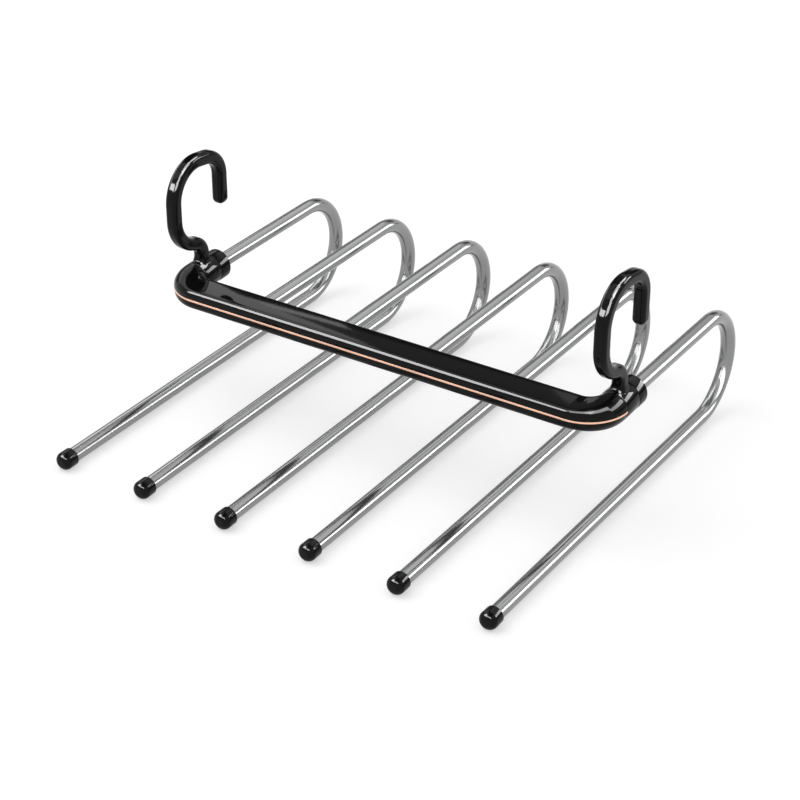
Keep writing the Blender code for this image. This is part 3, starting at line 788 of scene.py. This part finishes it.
def foot_rings(outline):
    """Rings that rise from a wide foot wrapped round the collar to the plain neck."""
    rings = []
    for i in range(HOOK_FOOT_STEPS):
        lean = math.pi / 2 * i / HOOK_FOOT_STEPS
        height = HOOK_FLARE_HEIGHT * (1 - math.cos(lean))
        grow = HOOK_FLARE - (HOOK_FLARE - 1) * math.sin(lean)
        share = eased(height / HOOK_FLARE_HEIGHT)
        ring = []
        for p in outline:
            x = grow * p.x
            y = grow * p.y
            angle = x / BARREL_RADIUS
            out = BARREL_RADIUS + height
            wrapped = Vector((out * math.sin(angle), -y, out * math.cos(angle)))
            straight = Vector((x, -y, out))
            ring.append(wrapped.lerp(straight, share))
        rings.append(ring)
    return rings


def hook_rings():
    """Rings from inside the collar, up the neck and over the crown to the rounded tip."""
    outline = square_outline(HOOK_BAR / 2, HOOK_EDGE_RADIUS)
    stem = -HOOK_STEM_OFFSET
    nose = stem + HOOK_SPAN
    corners = [(0, BARREL_RADIUS + HOOK_FLARE_HEIGHT), (0, HOOK_NECK_HEIGHT),
               (stem, HOOK_SHOULDER_HEIGHT), (stem, HOOK_CROWN_HEIGHT),
               (nose, HOOK_CROWN_HEIGHT - HOOK_CROWN_FALL),
               (nose, HOOK_TIP_HEIGHT + HOOK_BAR / 2)]
    route = filleted_route(corners, HOOK_RADII)
    foot = foot_rings(outline)
    sunk = [point - Vector((0, 0, HOOK_SUNK)) for point in foot[0]]
    rings = [sunk] + foot
    rings += [hook_ring(point, direction, outline) for point, direction in route]
    end, direction = route[-1]
    for i in range(1, HOOK_TIP_STEPS):
        lean = math.pi / 2 * i / HOOK_TIP_STEPS
        centre = end + HOOK_BAR / 2 * math.sin(lean) * direction
        rings.append(hook_ring(centre, direction, outline, math.cos(lean)))
    return rings


def add_hooks(plastic):
    """Each hook is one moulding with its collar."""
    half = COLLAR_LENGTH / 2
    edge = BARREL_EDGE
    bore = JOURNAL_RADIUS + FIT
    profile = [(bore, -half)]
    profile += arc((BARREL_RADIUS - edge, -half + edge), edge, -90, 0, SMALL_EDGE_STEPS)
    profile += arc((BARREL_RADIUS - edge, half - edge), edge, 0, 90, SMALL_EDGE_STEPS)
    profile += [(bore, half)]
    for word, side in SIDES:
        place = (side * BARREL_X, COLLAR_CENTRE_Y, 0)
        hook = add_piece(f"hook_and_collar_{word}", turned(profile, 2 * ROUND_SIDES), plastic,
                         f"{word}_hook", f"hook_{word}", place)
        combine(hook, [add_cutter("neck", skinned(hook_rings()), place)], "UNION")


# Rings, washers and screws

def add_rings_and_washers(plastic, rubber):
    """Rings that close the barrels behind the collars, each with a washer in its front face."""
    bore = JOURNAL_RADIUS + FIT
    washer_radius = bore + WASHER_WIDTH
    tube = TUBE_RADIUS + FIT
    lip = RING_LENGTH - RING_LIP
    edge = BARREL_EDGE
    profile = [(washer_radius + FIT, WASHER_THICKNESS), (washer_radius + FIT, 0)]
    profile += arc((BARREL_RADIUS - edge, edge), edge, -90, 0, SMALL_EDGE_STEPS)
    profile += arc((BARREL_RADIUS - RING_RADIUS, RING_LENGTH - RING_RADIUS), RING_RADIUS, 0, 90,
                   RING_EDGE_STEPS)
    profile += arc((tube + edge, RING_LENGTH - edge), edge, 90, 180, SMALL_EDGE_STEPS)
    profile += [(tube, lip), (bore, lip), (bore, WASHER_THICKNESS)]
    washer = [(bore, 0), (washer_radius, 0), (washer_radius, WASHER_THICKNESS),
              (bore, WASHER_THICKNESS)]
    for word, side in SIDES:
        place = (side * BARREL_X, RING_FRONT_Y, 0)
        add_piece(f"ring_{word}", turned(profile, 2 * ROUND_SIDES), plastic, "rack",
                  f"end_ring_{word}", place)
        add_piece(f"washer_{word}", turned(washer), rubber, "rack",
                  f"friction_washer_{word}", place)


def cross_recess(face, place):
    """Two crossed blades that cut a screw's recess."""
    blades = []
    for turn in (0, math.pi / 2):
        bm = bmesh.new()
        bmesh.ops.create_cube(bm, size=1, matrix=Matrix.LocRotScale(
            (0, 0, face), Matrix.Rotation(turn + math.pi / 4, 3, "Z"), SCREW_RECESS_SIZE))
        blades.append(add_cutter(f"recess_{turn:.0f}", bm, place))
    return blades


def add_screws(steel):
    """Pan-head screws with a cross recess, sunk in the lower shell."""
    face = -HALF_HEIGHT + SCREW_SUNK
    seat = face + SCREW_HEAD_HEIGHT
    shank = SCREW_SHANK_RADIUS - FIT
    point = HALF_HEIGHT / 2 - SEAM
    profile = [(share * SCREW_HEAD_RADIUS, face + height) for share, height in SCREW_HEAD_PROFILE]
    profile += [(SCREW_HEAD_RADIUS, seat), (shank, seat), (shank, point), (0, point)]
    places = screw_places()
    first = add_piece("screw_1", turned(profile, SCREW_SIDES, upright=True), steel, "rack",
                      "shell_screw_1", places[0], SCREW_SHARP_ANGLE)
    combine(first, cross_recess(face, places[0]), "DIFFERENCE", SCREW_SHARP_ANGLE)
    place_copies(first.data, "screw", "shell_screw", places[1:])


# Studio

def camera_and_mirrors(tree):
    """1 on rays from the camera, from gloss and through glass, and 0 on all others."""
    path = tree.nodes.new("ShaderNodeLightPath")
    total = path.outputs["Is Camera Ray"]
    for name in ("Is Glossy Ray", "Is Transmission Ray"):
        either = tree.nodes.new("ShaderNodeMath")
        either.operation = "MAXIMUM"
        tree.links.new(total, either.inputs[0])
        tree.links.new(path.outputs[name], either.inputs[1])
        total = either.outputs[0]
    return total


def strength_between(tree, low, high):
    """The high strength for the camera and for reflections, and the low one for other rays."""
    return ramp_between(tree, camera_and_mirrors(tree), low, high, 0, 1)


def add_world():
    """White to the camera and in reflections, and a plain fill light otherwise."""
    world = bpy.data.worlds.new("studio")
    bpy.context.scene.world = world
    world.use_nodes = True
    tree = world.node_tree
    background = tree.nodes["Background"]
    background.inputs["Color"].default_value = WHITE
    tree.links.new(strength_between(tree, WORLD_FILL, 1.0), background.inputs["Strength"])


def stage_object(name, bm, material):
    """A part of the studio that isn't a piece of the rack."""
    mesh = mesh_from(name, bm)
    mesh.materials.append(material)
    obj = add_object(name, mesh)
    return obj


def add_floor():
    """A white floor that keeps the rack's soft shadow."""
    material, tree, shader = new_material("floor")
    shader.inputs["Base Color"].default_value = FLOOR_GREY
    shader.inputs["Roughness"].default_value = 0.9
    shader.inputs["Specular IOR Level"].default_value = 0.0
    shader.inputs["Emission Color"].default_value = WHITE
    tree.links.new(strength_between(tree, 0.0, FLOOR_GLOW), shader.inputs["Emission Strength"])
    bm = bmesh.new()
    bmesh.ops.create_grid(bm, x_segments=1, y_segments=1, size=FLOOR_SIZE / 2)
    stage_object("floor", bm, material)


def direction_to(azimuth, elevation):
    """The direction at an azimuth from +Y towards +X and an elevation, both in degrees."""
    turn = math.radians(azimuth)
    rise = math.radians(elevation)
    return Vector((math.sin(turn) * math.cos(rise), math.cos(turn) * math.cos(rise),
                   math.sin(rise)))


def turn_back_to(obj, direction):
    """Turns a lamp or a camera, which looks along its -Z, away from a direction."""
    obj.rotation_mode = "QUATERNION"
    obj.rotation_quaternion = direction.to_track_quat("Z", "Y")


def show_only_in(light, group):
    """Lets a lamp or a glowing card reach the pieces of one group alone."""
    receivers = bpy.data.collections.new(light.name + "_receivers")
    for obj in bpy.data.objects:
        if obj.type == "MESH" and obj.name.startswith(PIECE_GROUPS[group]):
            receivers.objects.link(obj)
    light.light_linking.receiver_collection = receivers


def add_softbox(name, azimuth, elevation, width, height, radiance, group):
    """A lamp that faces the rack; its width and height are the angles in degrees that it fills.

    One that is shown in a group only is a reflection in its gloss and lights nothing.
    """
    lamp = bpy.data.lights.new(name, "AREA")
    lamp.shape = "RECTANGLE"
    lamp.size = 2 * STUDIO_DISTANCE * math.tan(math.radians(width / 2))
    lamp.size_y = 2 * STUDIO_DISTANCE * math.tan(math.radians(height / 2))
    lamp.energy = radiance * math.pi * lamp.size * lamp.size_y
    obj = add_object(name, lamp)
    towards = direction_to(azimuth, elevation)
    obj.location = RACK + STUDIO_DISTANCE * towards
    turn_back_to(obj, towards)
    obj.visible_camera = False
    if group is not None:
        obj.visible_diffuse = False
        show_only_in(obj, group)


def add_card(name, radiance, behind, group, corners):
    """A glowing card that only reflections show, from the directions of its corners."""
    material, _, shader = new_material(name)
    shader.inputs["Base Color"].default_value = BLACK
    shader.inputs["Specular IOR Level"].default_value = 0.0
    shader.inputs["Emission Color"].default_value = WHITE
    shader.inputs["Emission Strength"].default_value = radiance
    bm = bmesh.new()
    bm.faces.new([bm.verts.new(RACK + (CARD_DISTANCE + behind) * direction_to(*corner))
                  for corner in corners])
    card = stage_object(name, bm, material)
    card.visible_camera = False
    card.visible_diffuse = False
    card.visible_shadow = False
    if group is not None:
        show_only_in(card, group)


def add_studio():
    add_world()
    add_floor()
    for softbox in SOFTBOXES:
        add_softbox(*softbox)
    for card in CARDS:
        add_card(*card)


def add_camera():
    """A camera at the photograph's viewing angle."""
    data = bpy.data.cameras.new("camera")
    data.lens = CAMERA_LENS
    data.sensor_width = CAMERA_SENSOR
    camera = add_object("camera", data)
    camera.location = RACK + CAMERA_PLACE
    turn_back_to(camera, direction_to(CAMERA_AZIMUTH, CAMERA_ELEVATION))
    bpy.context.scene.camera = camera


def main():
    plastic = gloss_plastic("black_plastic", roughness=0.05, grain=0.000004)
    vinyl = gloss_plastic("cap_plastic", roughness=0.08, grain=0.000006)
    steel = lengthwise_metal("stainless_steel", STEEL, metallic=0.86, roughness=0.15,
                             grain=0.0000006, stretch=(15, 4000, 1))
    rose_gold = lengthwise_metal("rose_gold", ROSE_GOLD, metallic=1.0, roughness=0.18,
                                 grain=0.000001, stretch=(30, 9000, 1))
    zinc = plated_steel()
    rubber = washer_rubber()
    add_bar(plastic)
    add_strip(rose_gold)
    add_arms(steel)
    add_caps(vinyl)
    add_hooks(plastic)
    add_rings_and_washers(plastic, rubber)
    add_screws(zinc)
    add_studio()
    add_camera()


main()
bpy.context.scene.view_settings.view_transform = "Standard"
